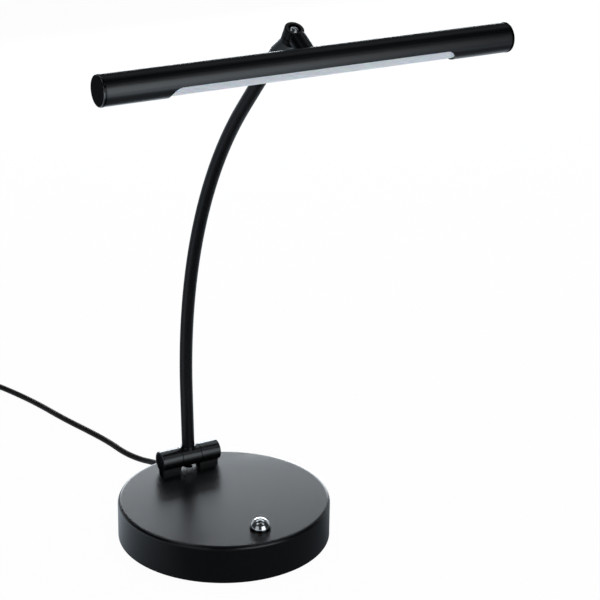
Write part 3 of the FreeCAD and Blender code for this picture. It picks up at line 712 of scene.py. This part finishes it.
screwSet = dict(
    count=4,
    circle=0.064,        # middle of a screw to the middle of the base
    firstAngle=45.0,
    seed=7,              # turns each recess its own way
    head=0.0038,
    rim=0.00015,         # small round at the head's edge
    shaft=0.0020,
    sides=48,
    crossLong=0.0021,    # half the length of the recess
    crossWide=0.00048,   # half the width of an arm
    crossDeep=0.0017,
    crossTaper=0.55,     # size of the recess' foot
)


def ringOf(template, radius, height, sides):
    turns = [2 * math.pi * i / sides for i in range(sides)]
    return [template.verts.new((radius * math.cos(t), radius * math.sin(t), height))
            for t in turns]


def bridge(template, low, high):
    for i in range(len(low)):
        j = (i + 1) % len(low)
        template.faces.new((low[i], low[j], high[j], high[i]))


def makeBaseScrews(cfg):
    lowest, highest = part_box("base_screws")
    foot, top = lowest[2], highest[2]
    template = bmesh.new()
    sides, head, rim, shaft = cfg["sides"], cfg["head"], cfg["rim"], cfg["shaft"]
    face = ringOf(template, head - rim, foot, sides)
    edge = ringOf(template, head, foot + rim, sides)
    neck = ringOf(template, shaft, foot + head - shaft, sides)
    tip = ringOf(template, shaft, top, sides)
    for low, high in ((face, edge), (edge, neck), (neck, tip)):
        bridge(template, low, high)
    template.faces.new(tip)
    a, b, taper = cfg["crossWide"], cfg["crossLong"], cfg["crossTaper"]
    cross = [(b, a), (a, a), (a, b), (-a, b), (-a, a), (-b, a),
             (-b, -a), (-a, -a), (-a, -b), (a, -b), (a, -a), (b, -a)]
    mouth = [template.verts.new((x, y, foot)) for x, y in cross]
    floor = [template.verts.new((x * taper, y * taper, foot + cfg["crossDeep"]))
             for x, y in cross]
    bridge(template, mouth, floor)
    template.faces.new(floor)
    edges = {e for ring in (face, mouth) for v in ring for e in v.link_edges
             if all(w in ring for w in e.verts)}
    bmesh.ops.triangle_fill(template, edges=list(edges), use_beauty=True)
    return growCopies("baseScrews", template, makeRingTree(materials["zincPlate"]), {
        "Count": cfg["count"], "Circle Radius": cfg["circle"],
        "First Angle": math.radians(cfg["firstAngle"]), "Seed": cfg["seed"]})


baseScrews = makeBaseScrews(screwSet)
print("closing screws made")


ribSet = dict(
    count=7,
    pitch=0.0024,
    firstAt=0.006,       # from the front of the plug's body to the first rib
    bodyAt=0.047,        # from the end of the coil to the plug's body
    side=0.01725,        # from the plug's middle line
    round=0.0006,
    low=0.0042,
    high=0.0098,
    sides=12,
    rings=8,
)


def makePlugRibs(cfg, coil):
    out, along = coilEnd(coil)
    start = (Vector((*coil["coilCentre"], 0)) + out * coil["coilOuter"]
             + along * (cfg["bodyAt"] + cfg["firstAt"]))
    template = bmesh.new()
    for way in (-1, 1):
        made = bmesh.ops.create_uvsphere(template, u_segments=cfg["sides"],
                                         v_segments=cfg["rings"], radius=cfg["round"])
        for vert in made["verts"]:
            vert.co.z += cfg["high"] if vert.co.z > 0 else cfg["low"]
            vert.co += out * (way * cfg["side"])
    return growCopies("plugRibs", template, makeRowTree(materials["cordJacket"]), {
        "Count": cfg["count"], "Start": tuple(start), "Step": tuple(along * cfg["pitch"])})


plugRibs = makePlugRibs(ribSet, cordSet)
print("plug ribs made")


floorSet = dict(
    reach=6.0,
    below=0.0002,                # gap under the rubber pad
    shown=0.97,                  # share of plain white in what the camera sees
    shade=(0.06, -0.30, 0.0),    # middle of the painted shade that stands for the lamp's own shadow on the floor
    squeeze=(0.45, 1.0, 1.0),    # the shade is wider than deep
    nearShare=0.12,              # brightness of the floor in reflections, there
    farShare=0.95,               # and far from it
    nearAt=0.24,
    farAt=0.45,
    sideFrom=0.38,               # painted shade: the reflected floor darkens softly on the right
    sideAt=0.75,
    sideShare=0.12,
    mirrorTint=(0.88, 1.0, 1.12),
    color=(0.92, 0.92, 0.92),
)


# painted shade: the floor's glow as seen in reflections is dimmed near the lamp and towards the
# right
def paintedMirrorShade(tree, place, cfg):
    off = vectorOf(tree, "SUBTRACT", place, cfg["shade"])
    away = vectorOf(tree, "LENGTH", vectorOf(tree, "MULTIPLY", off, cfg["squeeze"]),
                    result="Value")
    fade = rangeOf(tree, away, cfg["nearAt"], cfg["farAt"], cfg["nearShare"], cfg["farShare"])
    side = rangeOf(tree, splitOf(tree, place)["X"], cfg["sideFrom"], cfg["sideAt"],
                   1.0, cfg["sideShare"])
    return mathOf(tree, "MULTIPLY", fade, side)


def makeFloorPaper(cfg):
    material = bpy.data.materials.new("floorPaper")
    material.use_nodes = True
    tree = material.node_tree
    tree.nodes.clear()
    path = addNode(tree, "ShaderNodeLightPath").outputs
    spot = addNode(tree, "ShaderNodeNewGeometry").outputs
    toCamera = path["Is Camera Ray"]
    inMirror = mathOf(tree, "MAXIMUM", path["Is Glossy Ray"], path["Is Transmission Ray"])
    # painted shade of the floor in reflections
    level = paintedMirrorShade(tree, spot["Position"], cfg)
    glow = addNode(tree, "ShaderNodeEmission", {
        "Color": mixOf(tree, toCamera, cfg["mirrorTint"], (1, 1, 1)),
        "Strength": mathOf(tree, "MAXIMUM", level, toCamera)})
    paper = addNode(tree, "ShaderNodeBsdfDiffuse", {"Color": cfg["color"]})
    shown = mathOf(tree, "MULTIPLY", toCamera, cfg["shown"])
    front = addNode(tree, "ShaderNodeMixShader", {
        "Fac": mathOf(tree, "MAXIMUM", shown, inMirror), 1: paper.outputs["BSDF"],
        2: glow.outputs["Emission"]})
    clear = addNode(tree, "ShaderNodeBsdfTransparent")
    faces = addNode(tree, "ShaderNodeMixShader", {
        "Fac": spot["Backfacing"], 1: front.outputs["Shader"], 2: clear.outputs["BSDF"]})
    addNode(tree, "ShaderNodeOutputMaterial", {"Surface": faces.outputs["Shader"]})
    arrange(tree)
    return material


def makeFloor(cfg):
    mesh = bpy.data.meshes.new("studioFloor")
    r = cfg["reach"]
    mesh.from_pydata([(-r, -r, 0), (r, -r, 0), (r, r, 0), (-r, r, 0)], [], [(0, 1, 2, 3)])
    mesh.materials.append(makeFloorPaper(cfg))
    floor = bpy.data.objects.new("studioFloor", mesh)
    floor.location.z = -cfg["below"]
    scene.collection.objects.link(floor)


makeFloor(floorSet)


worldSet = dict(
    front=(-0.47, -0.883, 0.0),      # level direction of the viewer's side
    tint=(0.93, 1.0, 1.06),
    shown=(0.98, 0.98, 0.98),        # what the viewer sees past the floor's edge
    # brightness at degrees above the horizon
    rearSky=((-90, 0.6), (0, 0.6), (24, 0.3), (31, 0.1), (45, 0.1), (51, 0.9), (61, 0.9),
             (67, 0.03)),
    sideSky=((-90, 0.3), (0, 0.03), (90, 0.03)),
    frontSky=((-90, 0.3), (0, 0.06), (33, 0.03), (90, 0.03)),
    rearEdge=(-0.62, -0.42),         # cosine of the angle from the front where the rear light ends
    frontEdge=(0.30, 0.50),
)


def skyRamp(tree, height, stops):
    ramp = addNode(tree, "ShaderNodeValToRGB", {"Fac": height})
    ramp.color_ramp.interpolation = "EASE"
    elements = ramp.color_ramp.elements
    while len(elements) < len(stops):
        elements.new(0.5)
    for element, (angle, value) in zip(elements, stops):
        element.position = (angle + 90) / 180
        element.color = (value, value, value, 1)
    return ramp.outputs["Color"]


def makeWorld(cfg):
    world = bpy.data.worlds.new("studioSky")
    scene.world = world
    world.use_nodes = True
    tree = world.node_tree
    tree.nodes.clear()
    way = addNode(tree, "ShaderNodeTexCoord").outputs["Generated"]
    angle = mathOf(tree, "ARCSINE", splitOf(tree, way)["Z"])
    height = rangeOf(tree, angle, -math.pi / 2, math.pi / 2, 0.0, 1.0)
    dot = vectorOf(tree, "DOT_PRODUCT", way, cfg["front"], result="Value")
    ahead = mathOf(tree, "DIVIDE", dot, mathOf(tree, "COSINE", angle))
    sky = skyRamp(tree, height, cfg["rearSky"])
    for part, edge in (("sideSky", "rearEdge"), ("frontSky", "frontEdge")):
        turn = rangeOf(tree, ahead, *cfg[edge], 0.0, 1.0, interpolation_type="SMOOTHSTEP")
        sky = mixOf(tree, turn, sky, skyRamp(tree, height, cfg[part]))
    cool = mixOf(tree, 1.0, sky, cfg["tint"], blend_type="MULTIPLY")
    path = addNode(tree, "ShaderNodeLightPath").outputs
    glow = addNode(tree, "ShaderNodeBackground", {
        "Color": mixOf(tree, path["Is Camera Ray"], cool, cfg["shown"]), "Strength": 1.0})
    addNode(tree, "ShaderNodeOutputWorld", {"Surface": glow.outputs["Background"]})
    arrange(tree)


makeWorld(worldSet)


lampSet = {
    "rearCard": dict(place=(1.16, 1.60, 0.42), aim=(1.16, 0, 0.42), wide=1.9, high=0.52,
                     radiance=6.5),
    "rightFront": dict(place=(0.27, -1.55, 0.56), aim=(0.00, 0, 0.50), wide=1.15, high=1.12,
                       radiance=1.4),
    "leftFront": dict(place=(-1.33, -0.70, 0.56), aim=(0, 0, 0.50), wide=1.0, high=1.12,
                      radiance=0.40),
    "rightBox": dict(place=(0.37, -0.58, 1.05), aim=(0, 0, 0.03), wide=0.42, high=0.42,
                     radiance=0.5),
    "leftBox": dict(place=(-0.58, -0.06, 1.05), aim=(0, 0, 0.03), wide=0.4, high=0.4,
                    radiance=0.6),
    "fillCard": dict(place=(0.3, 0.1, 2.2), aim=(0, 0, 0.2), wide=1.6, high=1.6,
                     radiance=3.0, mirrored=False),
}


def makeLamp(name, cfg):
    data = bpy.data.lights.new(name, "AREA")
    data.shape = "RECTANGLE"
    data.size = cfg["wide"]
    data.size_y = cfg["high"]
    data.color = worldSet["tint"]
    data.energy = cfg["radiance"] * cfg["wide"] * cfg["high"] * math.pi
    lamp = bpy.data.objects.new(name, data)
    lamp.location = cfg["place"]
    way = Vector(cfg["aim"]) - Vector(cfg["place"])
    lamp.rotation_euler = way.to_track_quat("-Z", "Y").to_euler()
    lamp.visible_camera = False
    lamp.visible_glossy = cfg.get("mirrored", True)
    scene.collection.objects.link(lamp)


for name, cfg in lampSet.items():
    makeLamp(name, cfg)
print("stage and light set")


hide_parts("base_screws")
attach(baseScrews, "base")
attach(plugRibs, "base")
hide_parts("power_cord", "cord_coil", "plug_lead")
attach(mainsCord, "base")
